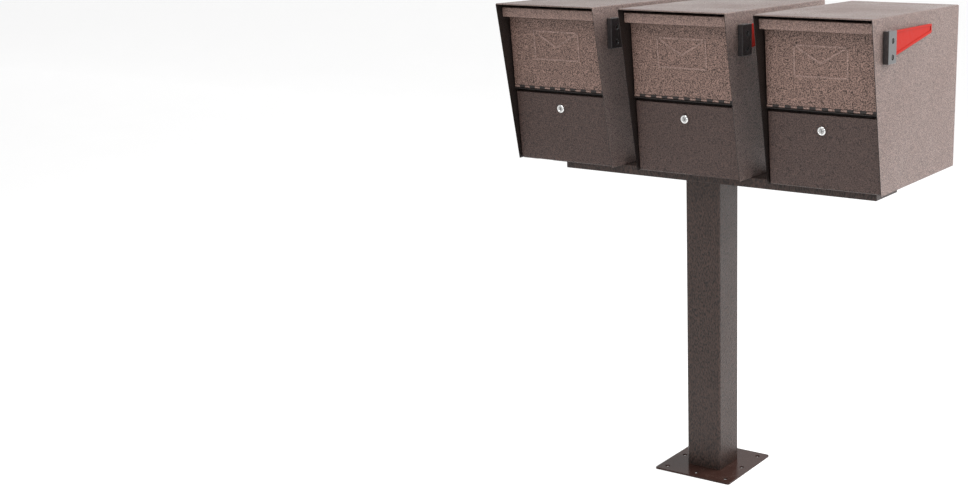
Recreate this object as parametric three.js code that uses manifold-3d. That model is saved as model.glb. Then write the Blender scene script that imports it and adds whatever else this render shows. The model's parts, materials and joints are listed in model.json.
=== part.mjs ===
// Cluster mailbox unit: three locking steel mailboxes side by side on a spreader, on one square post.
// Millimetres. +X is to the right of someone facing the doors, +Y goes to the back, +Z is up.
// The origin is the centre of the base plate's underside, where the post is bolted to its footing.

import * as THREE from 'three';
import { mergeVertices } from 'three/addons/utils/BufferGeometryUtils.js';
import Module from 'manifold-3d';

const wasm = await Module();
wasm.setup();

// ---------------------------------------------------------------- driving dimensions

const GAP = 0.3;                 // between pieces that touch in the real assembly
const SHEET = 1.6;               // folded sheet of the mailbox shells
const DOOR_SHEET = 1.9;          // heavier sheet of the doors and the hinge rail
const BEND_RADIUS = 3.2;         // outside of a folded corner

// Mailbox: its own frame has x = 0 at mid width, y = 0 at the hood's front edge, z = 0 under the floor.
const BOX_WIDTH = 304.8;
const BOX_HEIGHT = 419.1;
const BOX_DEPTH = 546.1;
const BOX_PITCH = 381;           // from the middle of one mailbox to the middle of the next
const SIDE_SETBACK = 76;         // how far the side panels' front edges slope back at the floor
const HEM_DEPTH = 12;            // the hood's front edge is folded back under itself

// Inner panels stay this far inside the wrap, clear of its bends.
const INSIDE_HALF = BOX_WIDTH / 2 - SHEET - 0.8;
const INSIDE_TOP = BOX_HEIGHT - SHEET - 0.6;

// Front: both doors hang in one plane that leans forward, measured back from the hood's front edge.
const DOOR_RECESS_TOP = 46;
const DOOR_RECESS_FLOOR = 78;
const LEAN = Math.atan2(DOOR_RECESS_FLOOR - DOOR_RECESS_TOP, BOX_HEIGHT);

// Heights in the front are measured up the leaning door plane from the floor.
const DOOR_WIDTH = 296;
const FLANGE_DEPTH = 12;
const UPPER_AXIS = 198;
const UPPER_DOOR_TOP = 411;
const LIP_REACH = 25;
const LIP_HEIGHT = 25;
const LIP_RETURN = 5;
const LOWER_AXIS = 4;
const LOWER_DOOR_TOP = 184;
const LOWER_DOOR_BOTTOM = 3.6;   // the access door's face hides its hinge, and swings clear of it
const LOWER_SETBACK = 5;         // the access door sits this much behind the incoming door

const KNUCKLE_RADIUS = 3.2;
const BORE_RADIUS = 1.95;
const PIN_RADIUS = 1.5;
const KNUCKLE_GAP = 0.4;
const KNUCKLE_RELIEF = 1.2;      // from a knuckle to the edge of the door it passes
const UPPER_KNUCKLES = 18;
const LOWER_KNUCKLES = 6;

const RAIL_DEPTH = 21;
const STRIKE_HEIGHT = 24;        // the rail's back flange, which the lock cam catches behind

const HOPPER_WIDTH = 272;
const HOPPER_SLOPE = THREE.MathUtils.degToRad(26);
const HOPPER_LENGTH = 150;
const CHEEK_TOP_ANGLE = THREE.MathUtils.degToRad(42);

const BAFFLE_Y = 206;
const BAFFLE_BOTTOM = 252;

const LOCK_HEIGHT = 147;
const LOCK_HEAD_RADIUS = 11;
const LOCK_HEAD_LENGTH = 10;
const LOCK_BARREL_RADIUS = 9.3;
const LOCK_PLUG_RADIUS = 6;
const LOCK_TAIL = 7;
const CAM_REACH = 42;
const CAM_WIDTH = 15;
const CAM_THICKNESS = 2.5;
const NUT_ACROSS_FLATS = 25.4;
const NUT_THICKNESS = 4.5;

// Flag and bracket on the right side panel, in the mailbox's frame.
const BRACKET_THICKNESS = 14;
const BRACKET_FRONT = 64;
const BRACKET_DEPTH = 46;
const BRACKET_BOTTOM = 312;
const BRACKET_HEIGHT = 76;
const BRACKET_WALL = 6;
const FLAG_THICKNESS = 4.8;
const FLAG_SLOT = 6;
const FLAG_REACH = 250;          // from the pivot to the tip
const FLAG_PIVOT = [89, 365];    // y and z of the upper screw, which the flag turns on
const MOUNT_SCREW = [89, 327];
const SCREW_RADIUS = 2.5;
const SCREW_HEAD_RADIUS = 4.3;
const COUNTERBORE_RADIUS = 6.6;

// Stand
const PLATE_SIZE = 228.6;
const PLATE_THICKNESS = 4.8;
const ANCHOR_OFFSET = 90;
const ANCHOR_RADIUS = 6.5;
const POST_SIZE = 101.6;
const POST_WALL = 3.2;
const POST_LENGTH = 804.7;
const CAP_THICKNESS = 6.4;
const SPREADER_LENGTH = 914.4;
const SPREADER_WIDTH = 127;
const SPREADER_SHIFT = 38;       // the spreader reaches further to the post's right than to its left
const SPREADER_HEIGHT = 25.4;
const SPREADER_SHEET = 3.2;
const POST_BEHIND_HOOD = 200;    // the post's axis, back from the hood's front edge

// Heights of the stack, from the ground up
const POST_BOTTOM = PLATE_THICKNESS + GAP;
const CAP_BOTTOM = POST_BOTTOM + POST_LENGTH + GAP;
const WEB_BOTTOM = CAP_BOTTOM + CAP_THICKNESS + GAP;
const SPREADER_TOP = WEB_BOTTOM + SPREADER_SHEET;
const BOX_BOTTOM = SPREADER_TOP + GAP;

// ---------------------------------------------------------------- solids

// A closed geometry as a solid that can be joined and cut.
function solid(geometry) {
  const bare = geometry.clone();
  bare.deleteAttribute('normal');
  bare.deleteAttribute('uv');
  const merged = mergeVertices(bare, 1e-4);
  return new wasm.Manifold(new wasm.Mesh({
    numProp: 3,
    vertProperties: new Float32Array(merged.attributes.position.array),
    triVerts: new Uint32Array(merged.index.array),
  }));
}

function geometryOf(body) {
  const mesh = body.getMesh();
  const geometry = new THREE.BufferGeometry();
  geometry.setAttribute('position', new THREE.BufferAttribute(mesh.vertProperties, 3));
  geometry.setIndex(new THREE.BufferAttribute(mesh.triVerts, 1));
  geometry.computeVertexNormals();
  return geometry;
}

function joined(...bodies) {
  return bodies.flat().reduce((sum, next) => sum.add(next));
}

// A block between two limits on each axis.
function block([x0, x1], [y0, y1], [z0, z1]) {
  const geometry = new THREE.BoxGeometry(x1 - x0, y1 - y0, z1 - z0);
  geometry.translate((x0 + x1) / 2, (y0 + y1) / 2, (z0 + z1) / 2);
  return solid(geometry);
}

function outline(points) {
  return new THREE.Shape(points.map(([a, b]) => new THREE.Vector2(a, b)));
}

const X = new THREE.Vector3(1, 0, 0);
const Y = new THREE.Vector3(0, 1, 0);
const Z = new THREE.Vector3(0, 0, 1);

// Extrudes a shape whose own two axes lie along `across` and `up`, from the origin along the third axis.
function extruded(shape, length, across, up, segments = 4) {
  const settings = { depth: length, bevelEnabled: false, curveSegments: segments };
  const geometry = new THREE.ExtrudeGeometry(shape, settings);
  const along = new THREE.Vector3().crossVectors(across, up);
  geometry.applyMatrix4(new THREE.Matrix4().makeBasis(across, up, along));
  return solid(geometry);
}

// A shape drawn in y and z, extruded from x0 to x1.
function alongX(shape, [x0, x1], segments) {
  return extruded(shape, x1 - x0, Y, Z, segments).translate(x0, 0, 0);
}

// A shape drawn in x and z, extruded from y0 to y1.
function alongY(shape, [y0, y1], segments) {
  return extruded(shape, y1 - y0, X, Z, segments).translate(0, y1, 0);
}

function alongZ(shape, [z0, z1], segments) {
  return extruded(shape, z1 - z0, X, Y, segments).translate(0, 0, z0);
}

function disc(radius, [a, b] = [0, 0]) {
  const shape = new THREE.Shape();
  shape.absarc(a, b, radius, 0, 2 * Math.PI);
  return shape;
}

function hexagon(acrossFlats, [a, b] = [0, 0]) {
  const corner = acrossFlats / Math.sqrt(3);
  const points = Array.from({ length: 6 }, (_, i) => (i * Math.PI) / 3);
  return outline(points.map((angle) => [a + corner * Math.cos(angle), b + corner * Math.sin(angle)]));
}

function roundedSquare(size, radius) {
  const reach = size / 2 - radius;
  const shape = new THREE.Shape();
  for (let quarter = 0; quarter < 4; quarter += 1) {
    const start = (quarter * Math.PI) / 2;
    const middle = start + Math.PI / 4;
    const centreX = reach * Math.sign(Math.cos(middle));
    const centreY = reach * Math.sign(Math.sin(middle));
    shape.absarc(centreX, centreY, radius, start, start + Math.PI / 2);
  }
  return shape;
}

// A sheet folded into a channel: a web along the shape's first axis and two flanges along its second.
function channel(width, depth, sheet) {
  const half = width / 2;
  const inner = BEND_RADIUS - sheet;
  const shape = new THREE.Shape();
  shape.moveTo(-half, depth);
  shape.absarc(-half + BEND_RADIUS, BEND_RADIUS, BEND_RADIUS, Math.PI, 1.5 * Math.PI);
  shape.absarc(half - BEND_RADIUS, BEND_RADIUS, BEND_RADIUS, 1.5 * Math.PI, 2 * Math.PI);
  shape.lineTo(half, depth);
  shape.lineTo(half - sheet, depth);
  shape.absarc(half - BEND_RADIUS, BEND_RADIUS, inner, 0, -0.5 * Math.PI, true);
  shape.absarc(-half + BEND_RADIUS, BEND_RADIUS, inner, -0.5 * Math.PI, -Math.PI, true);
  shape.lineTo(-half + sheet, depth);
  return shape;
}

// ---------------------------------------------------------------- hinges

// The stretches of a hinge's width taken by its fixed (turn 0) or moving (turn 1) knuckles.
function knuckleSpans(count, turn) {
  const pitch = DOOR_WIDTH / count;
  const spans = [];
  for (let i = turn; i < count; i += 2) {
    const left = -DOOR_WIDTH / 2 + i * pitch;
    spans.push([left + KNUCKLE_GAP / 2, left + pitch - KNUCKLE_GAP / 2]);
  }
  return spans;
}

// Rolled knuckles about an axis along x at the given y and z.
function knuckles(count, turn, centre) {
  const ring = disc(KNUCKLE_RADIUS, centre);
  ring.holes.push(disc(BORE_RADIUS, centre));
  return knuckleSpans(count, turn).map((span) => alongX(ring, span));
}

// Strips that tie each knuckle to the edge it was rolled from, clear of the pin's bore.
function fingers(count, turn, [y0, y1], [z0, z1]) {
  return knuckleSpans(count, turn).map((span) => block(span, [y0, y1], [z0, z1]));
}

function hingePin(centre) {
  return alongX(disc(PIN_RADIUS, centre), [-DOOR_WIDTH / 2, DOOR_WIDTH / 2]);
}

// The lower hinge's axis in the mailbox's frame, from its place in the leaning front.
const LOWER_HINGE_DEPTH = LOWER_SETBACK + DOOR_SHEET + 0.5 + KNUCKLE_RADIUS;
const [LEAN_COS, LEAN_SIN] = [Math.cos(LEAN), Math.sin(LEAN)];
const LOWER_HINGE_Y = DOOR_RECESS_FLOOR + LOWER_HINGE_DEPTH * LEAN_COS - LOWER_AXIS * LEAN_SIN;
const LOWER_HINGE_Z = LOWER_HINGE_DEPTH * LEAN_SIN + LOWER_AXIS * LEAN_COS;

// ---------------------------------------------------------------- mailbox shell

// One sheet wrapped over the top and down both sides, with sloping front edges and a hemmed hood.
function housing() {
  const down = Z.clone().negate();
  const wrap = extruded(channel(BOX_WIDTH, BOX_HEIGHT, SHEET), BOX_DEPTH, X, down, 2)
    .translate(0, 0, BOX_HEIGHT);
  const shoulder = BOX_HEIGHT - BEND_RADIUS;
  const front = outline([[-5, shoulder], [0, shoulder], [SIDE_SETBACK, 0], [SIDE_SETBACK, -5], [-5, -5]]);
  const hemHalf = BOX_WIDTH / 2 - BEND_RADIUS;
  const hem = block([-hemHalf, hemHalf], [0, HEM_DEPTH], [BOX_HEIGHT - 2 * SHEET, BOX_HEIGHT - SHEET / 2]);
  const wall = [BOX_WIDTH / 2 - 2 * SHEET, BOX_WIDTH / 2 + SHEET];
  const screwHoles = [FLAG_PIVOT, MOUNT_SCREW]
    .map((place) => alongX(disc(SCREW_RADIUS + GAP, place), wall));
  return wrap
    .subtract(alongX(front, [-BOX_WIDTH, BOX_WIDTH]))
    .add(hem)
    .subtract(joined(screwHoles));
}

// Floor tray: turned-up side flanges, and its front edge rolled into the lower hinge's fixed knuckles.
function floorPan() {
  const half = INSIDE_HALF;
  const front = LOWER_HINGE_Y + KNUCKLE_RADIUS + KNUCKLE_RELIEF;
  const back = BOX_DEPTH - 2 * SHEET - 2 * GAP;
  const flangeHeight = 18;
  const floor = block([-half, half], [front, back], [0, SHEET]);
  const flanges = [-1, 1].map((side) => {
    const edges = [side * half, side * (half - SHEET)].sort((a, b) => a - b);
    return block(edges, [front, back], [0, flangeHeight]);
  });
  const behindPin = [LOWER_HINGE_Y + BORE_RADIUS + 0.1, front + 1];
  const tongues = fingers(LOWER_KNUCKLES, 0, behindPin, [0, LOWER_HINGE_Z]);
  return joined(floor, flanges, tongues, knuckles(LOWER_KNUCKLES, 0, [LOWER_HINGE_Y, LOWER_HINGE_Z]));
}

// Back panel: a plain sheet just inside the wrap, with a flange folded forward along its top.
function backPanel() {
  const half = INSIDE_HALF;
  const outside = BOX_DEPTH - SHEET;
  const panel = block([-half, half], [outside - SHEET, outside], [0, INSIDE_TOP]);
  const flange = block([-half, half], [outside - 18, outside], [INSIDE_TOP - SHEET, INSIDE_TOP]);
  return panel.add(flange);
}

// Anti-fishing baffle: hangs from the roof behind the hopper's sweep, with a stiffening fold below.
function baffle() {
  const half = INSIDE_HALF;
  const foldDepth = 20;
  return joined(
    block([-half, half], [BAFFLE_Y, BAFFLE_Y + SHEET], [BAFFLE_BOTTOM, INSIDE_TOP]),
    block([-half, half], [BAFFLE_Y, BAFFLE_Y + foldDepth], [INSIDE_TOP - SHEET, INSIDE_TOP]),
    block([-half, half], [BAFFLE_Y, BAFFLE_Y + foldDepth], [BAFFLE_BOTTOM, BAFFLE_BOTTOM + SHEET]),
  );
}

// ---------------------------------------------------------------- doors, in the leaning front's frame
// Here y = 0 is the incoming door's outer face, and z runs up the door plane from the floor.

const UPPER_HINGE = [KNUCKLE_RADIUS, UPPER_AXIS];
const LOWER_HINGE = [LOWER_HINGE_DEPTH, LOWER_AXIS];
const RAIL_TOP = UPPER_AXIS - KNUCKLE_RADIUS - 0.8;

// Rail between the doors: a shelf under the fixed knuckles, and the strike flange behind the lock cam.
function hingeRail() {
  const half = INSIDE_HALF;
  const across = [-half, half];
  const shelf = block(across, [0, RAIL_DEPTH], [RAIL_TOP - DOOR_SHEET, RAIL_TOP]);
  const back = [RAIL_DEPTH - DOOR_SHEET, RAIL_DEPTH];
  const strike = block(across, back, [RAIL_TOP - STRIKE_HEIGHT, RAIL_TOP]);
  const behindPin = [KNUCKLE_RADIUS + BORE_RADIUS + 0.1, 2 * KNUCKLE_RADIUS];
  const tongues = fingers(UPPER_KNUCKLES, 0, behindPin, [RAIL_TOP - 1, UPPER_AXIS]);
  return joined(shelf, strike, tongues, knuckles(UPPER_KNUCKLES, 0, UPPER_HINGE));
}

// A plain envelope outline, raised on the incoming door.
function envelopeMark() {
  const [halfWidth, halfHeight, stroke, proud] = [72, 39, 5, 1.2];
  const middle = 312;
  const depth = [-proud, 0.6];
  const outside = block([-halfWidth, halfWidth], depth, [middle - halfHeight, middle + halfHeight]);
  const [across, up] = [halfWidth - stroke, halfHeight - stroke];
  const inside = block([-across, across], [-proud - 1, 1], [middle - up, middle + up]);
  const top = middle + halfHeight - 1;
  const point = middle - 6;
  const slant = halfWidth - 1;
  const narrow = slant - 1.8 * stroke;
  const flap = outline([
    [-slant, top], [0, point], [slant, top],
    [narrow, top], [0, point + stroke + 1], [-narrow, top],
  ]);
  return outside.subtract(inside).add(alongY(flap, depth));
}

// The pull lip's section: forward from the door's top edge, down, and back under in a short return.
function lipProfile() {
  const [top, sheet, reach] = [UPPER_DOOR_TOP, DOOR_SHEET, -LIP_REACH];
  const bottom = top - LIP_HEIGHT;
  const back = reach + LIP_RETURN;
  return outline([
    [sheet, top - sheet - 1], [sheet, top], [reach, top], [reach, bottom],
    [back, bottom], [back, bottom + sheet], [reach + sheet, bottom + sheet],
    [reach + sheet, top - sheet], [0.1, top - sheet], [0.1, top - sheet - 1],
  ]);
}

// Incoming door: a folded pan with a full-width pull lip on top and knuckles rolled from its lower edge.
function incomingDoor() {
  const half = DOOR_WIDTH / 2;
  const bottom = UPPER_AXIS + KNUCKLE_RADIUS + KNUCKLE_RELIEF;
  const top = UPPER_DOOR_TOP;
  const pan = alongZ(channel(DOOR_WIDTH, FLANGE_DEPTH, DOOR_SHEET), [bottom, top - DOOR_SHEET], 2);
  const pullLip = alongX(lipProfile(), [-half, half]);
  const inFront = [0, KNUCKLE_RADIUS - BORE_RADIUS - 0.1];
  const tongues = fingers(UPPER_KNUCKLES, 1, inFront, [UPPER_AXIS, bottom + 1]);
  return joined(pan, pullLip, envelopeMark(), tongues, knuckles(UPPER_KNUCKLES, 1, UPPER_HINGE));
}

// Hopper: a tray behind the incoming door. Its floor slopes to the back, and rises as a guard when opened.
function mailHopper() {
  const half = HOPPER_WIDTH / 2;
  const face = DOOR_SHEET + GAP;
  const foot = UPPER_AXIS + 9;
  const flangeTop = foot + 28;
  const run = HOPPER_LENGTH * Math.cos(HOPPER_SLOPE);
  const drop = HOPPER_LENGTH * Math.sin(HOPPER_SLOPE);
  const end = [face + run, foot - drop];
  const thick = SHEET / Math.cos(HOPPER_SLOPE);
  const tray = outline([[face, flangeTop], [face, foot], end, [end[0], end[1] + thick],
    [face + SHEET, foot + thick], [face + SHEET, flangeTop]]);
  const [behind, above] = [end[0] - UPPER_HINGE[0], end[1] - UPPER_HINGE[1]];
  const cheek = new THREE.Shape();
  cheek.moveTo(face, foot);
  cheek.absarc(...UPPER_HINGE, Math.hypot(behind, above), Math.atan2(above, behind), CHEEK_TOP_ANGLE);
  cheek.lineTo(face, UPPER_DOOR_TOP - 75);
  const cheeks = [[-half, -half + SHEET], [half - SHEET, half]].map((span) => alongX(cheek, span));
  return joined(alongX(tray, [-half, half]), cheeks);
}

// Access door: a folded pan, hinged behind its lower edge, with a hole for the lock.
function accessDoor() {
  const outer = LOWER_SETBACK;
  const flangeBottom = LOWER_AXIS + KNUCKLE_RADIUS + KNUCKLE_RELIEF;
  const half = DOOR_WIDTH / 2;
  const pan = alongZ(channel(DOOR_WIDTH, FLANGE_DEPTH, DOOR_SHEET), [flangeBottom, LOWER_DOOR_TOP], 2)
    .translate(0, outer, 0);
  const faceHalf = half - BEND_RADIUS / 2;
  const face = [outer, outer + DOOR_SHEET];
  const apron = block([-faceHalf, faceHalf], face, [LOWER_DOOR_BOTTOM, flangeBottom + 1]);
  const topFlange = block([-half + 2.5, half - 2.5], [outer, outer + FLANGE_DEPTH],
    [LOWER_DOOR_TOP - DOOR_SHEET, LOWER_DOOR_TOP]);
  const overBore = [LOWER_AXIS + BORE_RADIUS + 0.1, LOWER_AXIS + KNUCKLE_RADIUS];
  const tongues = fingers(LOWER_KNUCKLES, 1, [outer + 1, LOWER_HINGE_DEPTH], overBore);
  const lockHole = alongY(disc(LOCK_BARREL_RADIUS + GAP, [0, LOCK_HEIGHT]), [outer - 1, outer + 4], 8);
  return joined(pan, apron, topFlange, tongues, knuckles(LOWER_KNUCKLES, 1, LOWER_HINGE)).subtract(lockHole);
}

// ---------------------------------------------------------------- lock, in the leaning front's frame

const LOCK_AXIS = [0, LOCK_HEIGHT];
const LOCK_FACE = LOWER_SETBACK - LOCK_HEAD_LENGTH;
const BARREL_END = LOWER_SETBACK + 15;
const CAM_FRONT = RAIL_DEPTH + 0.6;

function lockBody() {
  const head = alongY(disc(LOCK_HEAD_RADIUS, LOCK_AXIS), [LOCK_FACE, LOWER_SETBACK - GAP], 8);
  const barrel = alongY(disc(LOCK_BARREL_RADIUS, LOCK_AXIS), [LOWER_SETBACK - 1, BARREL_END], 8);
  const bore = alongY(disc(LOCK_PLUG_RADIUS + GAP + 0.1, LOCK_AXIS), [LOCK_FACE - 1, BARREL_END + 1], 8);
  return head.add(barrel).subtract(bore);
}

function lockPlug() {
  const plug = alongY(disc(LOCK_PLUG_RADIUS, LOCK_AXIS), [LOCK_FACE - 0.6, BARREL_END], 8);
  const half = LOCK_TAIL / 2;
  const tail = block([-half, half], [BARREL_END - 1, CAM_FRONT + CAM_THICKNESS + 2],
    [LOCK_HEIGHT - half, LOCK_HEIGHT + half]);
  const keyway = block([-0.9, 0.9], [LOCK_FACE - 2, LOCK_FACE + 7], [LOCK_HEIGHT - 3.8, LOCK_HEIGHT + 3.8]);
  return plug.add(tail).subtract(keyway);
}

// Cam: a flat bar that points sideways when the lock is open, and up behind the strike when turned.
function lockCam() {
  const half = CAM_WIDTH / 2;
  const bar = new THREE.Shape();
  bar.moveTo(CAM_REACH, LOCK_HEIGHT + half * 0.6);
  bar.absarc(0, LOCK_HEIGHT, half, Math.PI / 2, 1.5 * Math.PI);
  bar.lineTo(CAM_REACH, LOCK_HEIGHT - half * 0.6);
  const plate = alongY(bar, [CAM_FRONT, CAM_FRONT + CAM_THICKNESS]);
  const fit = LOCK_TAIL / 2 + GAP;
  const through = [CAM_FRONT - 1, CAM_FRONT + CAM_THICKNESS + 1];
  const hole = block([-fit, fit], through, [LOCK_HEIGHT - fit, LOCK_HEIGHT + fit]);
  return plate.subtract(hole);
}

function lockNut() {
  const front = LOWER_SETBACK + DOOR_SHEET + GAP;
  const nut = alongY(hexagon(NUT_ACROSS_FLATS, LOCK_AXIS), [front, front + NUT_THICKNESS]);
  const through = [front - 1, front + NUT_THICKNESS + 1];
  const hole = alongY(disc(LOCK_BARREL_RADIUS + GAP + 0.1, LOCK_AXIS), through, 8);
  return nut.subtract(hole);
}

// ---------------------------------------------------------------- flag, in the mailbox's frame

const BRACKET_X = BOX_WIDTH / 2 + GAP;
const SLOT_X = BRACKET_X + 3.4;
const FLAG_X = SLOT_X + (FLAG_SLOT - FLAG_THICKNESS) / 2;
const HEAD_SEAT = BRACKET_X + BRACKET_THICKNESS - 3;

// Bracket: a solid block slotted from behind and above for the flag, with two counterbored screw holes.
function flagBracket() {
  const outer = BRACKET_X + BRACKET_THICKNESS;
  const back = BRACKET_FRONT + BRACKET_DEPTH;
  const top = BRACKET_BOTTOM + BRACKET_HEIGHT;
  const body = block([BRACKET_X, outer], [BRACKET_FRONT, back], [BRACKET_BOTTOM, top]);
  const slotDepth = [BRACKET_FRONT + BRACKET_WALL, back + 5];
  const slot = block([SLOT_X, SLOT_X + FLAG_SLOT], slotDepth, [BRACKET_BOTTOM + BRACKET_WALL, top + 5]);
  const boss = alongX(disc(7, MOUNT_SCREW), [SLOT_X - 0.5, SLOT_X + FLAG_SLOT + 0.5], 6);
  const holes = [FLAG_PIVOT, MOUNT_SCREW].map((place) => joined(
    alongX(disc(SCREW_RADIUS + GAP, place), [BRACKET_X - 1, outer + 1]),
    alongX(disc(COUNTERBORE_RADIUS, place), [HEAD_SEAT, outer + 1], 6),
  ));
  return body.subtract(slot).add(boss).subtract(joined(holes));
}

// Flag: lies straight back when down. A round lug in the bracket's slot carries it on the upper screw.
function flag() {
  const [y, z] = FLAG_PIVOT;
  const lug = 13;
  const shape = new THREE.Shape();
  shape.moveTo(y + 25, z + 21);
  shape.absarc(y + FLAG_REACH - 3, z + 18, 3, Math.PI / 2, 0, true);
  shape.absarc(y + FLAG_REACH - 3, z + 2, 3, 0, -Math.PI / 3, true);
  shape.lineTo(y + 36, z - 36);
  shape.lineTo(y + 14, z - 36);
  shape.lineTo(y + lug, z);
  shape.absarc(y, z, lug, 0, -1.5 * Math.PI, true);
  shape.lineTo(y + 25, z + lug);
  shape.holes.push(disc(SCREW_RADIUS + GAP, FLAG_PIVOT));
  return alongX(shape, [FLAG_X, FLAG_X + FLAG_THICKNESS], 6);
}

function flagScrew(place) {
  const head = alongX(disc(SCREW_HEAD_RADIUS, place), [HEAD_SEAT + GAP, HEAD_SEAT + 2.6], 6);
  const shank = alongX(disc(SCREW_RADIUS, place), [BOX_WIDTH / 2 - 6, HEAD_SEAT + 1]);
  return head.add(shank);
}

// ---------------------------------------------------------------- stand

function basePlate() {
  const shape = roundedSquare(PLATE_SIZE, 5);
  for (const row of [-1, 0, 1]) {
    for (const column of [-1, 0, 1]) {
      if (row !== 0 || column !== 0) {
        shape.holes.push(disc(ANCHOR_RADIUS, [column * ANCHOR_OFFSET, row * ANCHOR_OFFSET]));
      }
    }
  }
  return alongZ(shape, [0, PLATE_THICKNESS]);
}

function post() {
  const shape = roundedSquare(POST_SIZE, 7);
  shape.holes.push(roundedSquare(POST_SIZE - 2 * POST_WALL, 7 - POST_WALL));
  return alongZ(shape, [POST_BOTTOM, POST_BOTTOM + POST_LENGTH], 2);
}

function capPlate() {
  return alongZ(roundedSquare(POST_SIZE, 7), [CAP_BOTTOM, CAP_BOTTOM + CAP_THICKNESS], 2);
}

// Spreader: a shallow pan turned over the post's head, closed at both ends.
function spreader() {
  const halfLength = SPREADER_LENGTH / 2;
  const halfWidth = SPREADER_WIDTH / 2;
  const bottom = SPREADER_TOP - SPREADER_HEIGHT;
  const inside = [halfLength - SPREADER_SHEET, halfWidth - SPREADER_SHEET];
  const outer = block([-halfLength, halfLength], [-halfWidth, halfWidth], [bottom, SPREADER_TOP]);
  const inner = block([-inside[0], inside[0]], [-inside[1], inside[1]], [bottom - 5, WEB_BOTTOM]);
  return outer.subtract(inner).translate(SPREADER_SHIFT, 0, 0);
}

// ---------------------------------------------------------------- materials

const paints = {
  bronzePaint: { color: 0x5b4b44, roughness: 0.45, metalness: 0.55 },
  platePaint: { color: 0x3a2c27, roughness: 0.25, metalness: 0.5 },
  steel: { color: 0xa8a8a8, roughness: 0.35, metalness: 0.95 },
  chrome: { color: 0xd8d8d8, roughness: 0.12, metalness: 1.0 },
  blackPlastic: { color: 0x101214, roughness: 0.2, metalness: 0.0 },
  redPlastic: { color: 0xd8261c, roughness: 0.35, metalness: 0.0 },
};

function piece(name, body, paint) {
  const mesh = new THREE.Mesh(geometryOf(body), new THREE.MeshStandardMaterial(paints[paint]));
  mesh.name = name;
  return mesh;
}

// ---------------------------------------------------------------- assembly

const shellPieces = {
  housing: [housing(), 'bronzePaint'],
  floor_pan: [floorPan(), 'bronzePaint'],
  back_panel: [backPanel(), 'bronzePaint'],
  baffle: [baffle(), 'bronzePaint'],
  flag_bracket: [flagBracket(), 'blackPlastic'],
  flag: [flag(), 'redPlastic'],
  flag_pivot_screw: [flagScrew(FLAG_PIVOT), 'chrome'],
  flag_mount_screw: [flagScrew(MOUNT_SCREW), 'chrome'],
};

const frontPieces = {
  hinge_rail: [hingeRail(), 'bronzePaint'],
  upper_hinge_pin: [hingePin(UPPER_HINGE), 'steel'],
  incoming_door: [incomingDoor(), 'bronzePaint'],
  mail_hopper: [mailHopper(), 'bronzePaint'],
  access_door: [accessDoor(), 'bronzePaint'],
  lower_hinge_pin: [hingePin(LOWER_HINGE), 'steel'],
  lock_body: [lockBody(), 'chrome'],
  lock_plug: [lockPlug(), 'chrome'],
  lock_cam: [lockCam(), 'steel'],
  lock_nut: [lockNut(), 'steel'],
};

// One mailbox: the shell's pieces stand upright, and the front's pieces lean with the door plane.
function mailbox(side) {
  const front = new THREE.Group();
  front.position.set(0, DOOR_RECESS_FLOOR, 0);
  front.rotation.x = LEAN;
  for (const [name, [body, paint]] of Object.entries(frontPieces)) {
    front.add(piece(`${side}_${name}`, body, paint));
  }
  const box = new THREE.Group();
  box.add(front);
  for (const [name, [body, paint]] of Object.entries(shellPieces)) {
    box.add(piece(`${side}_${name}`, body, paint));
  }
  return box;
}

const unit = new THREE.Group();
unit.add(piece('base_plate', basePlate(), 'platePaint'));
unit.add(piece('post', post(), 'bronzePaint'));
unit.add(piece('post_cap_plate', capPlate(), 'bronzePaint'));
unit.add(piece('spreader', spreader(), 'bronzePaint'));

['left', 'middle', 'right'].forEach((side, index) => {
  const box = mailbox(side);
  box.position.set((index - 1) * BOX_PITCH, -POST_BEHIND_HOOD, BOX_BOTTOM);
  unit.add(box);
});

export default unit;
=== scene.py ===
"""Cluster mailbox unit: the looks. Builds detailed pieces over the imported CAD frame, in metres."""

import json
import math

import bmesh
import bpy
from mathutils import Matrix, Vector

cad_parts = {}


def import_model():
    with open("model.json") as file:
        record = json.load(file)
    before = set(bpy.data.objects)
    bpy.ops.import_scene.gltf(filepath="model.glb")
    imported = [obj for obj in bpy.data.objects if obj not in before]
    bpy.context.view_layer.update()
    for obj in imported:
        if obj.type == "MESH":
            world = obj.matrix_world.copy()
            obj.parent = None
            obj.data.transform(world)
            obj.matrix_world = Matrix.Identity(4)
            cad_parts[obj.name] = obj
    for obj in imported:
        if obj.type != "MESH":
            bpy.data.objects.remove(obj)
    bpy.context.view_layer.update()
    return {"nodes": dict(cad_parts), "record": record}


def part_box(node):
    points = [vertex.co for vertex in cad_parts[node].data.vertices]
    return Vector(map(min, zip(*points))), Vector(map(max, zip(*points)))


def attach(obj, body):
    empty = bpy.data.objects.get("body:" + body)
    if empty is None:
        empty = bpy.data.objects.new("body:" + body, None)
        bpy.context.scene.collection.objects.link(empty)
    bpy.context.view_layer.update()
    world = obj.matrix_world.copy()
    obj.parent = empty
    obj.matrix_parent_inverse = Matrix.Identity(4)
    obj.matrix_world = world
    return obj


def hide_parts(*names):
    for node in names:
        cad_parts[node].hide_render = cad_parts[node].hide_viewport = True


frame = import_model()

MM = 0.001
SIDES = ("left", "middle", "right")
STAND = "stand"

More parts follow.
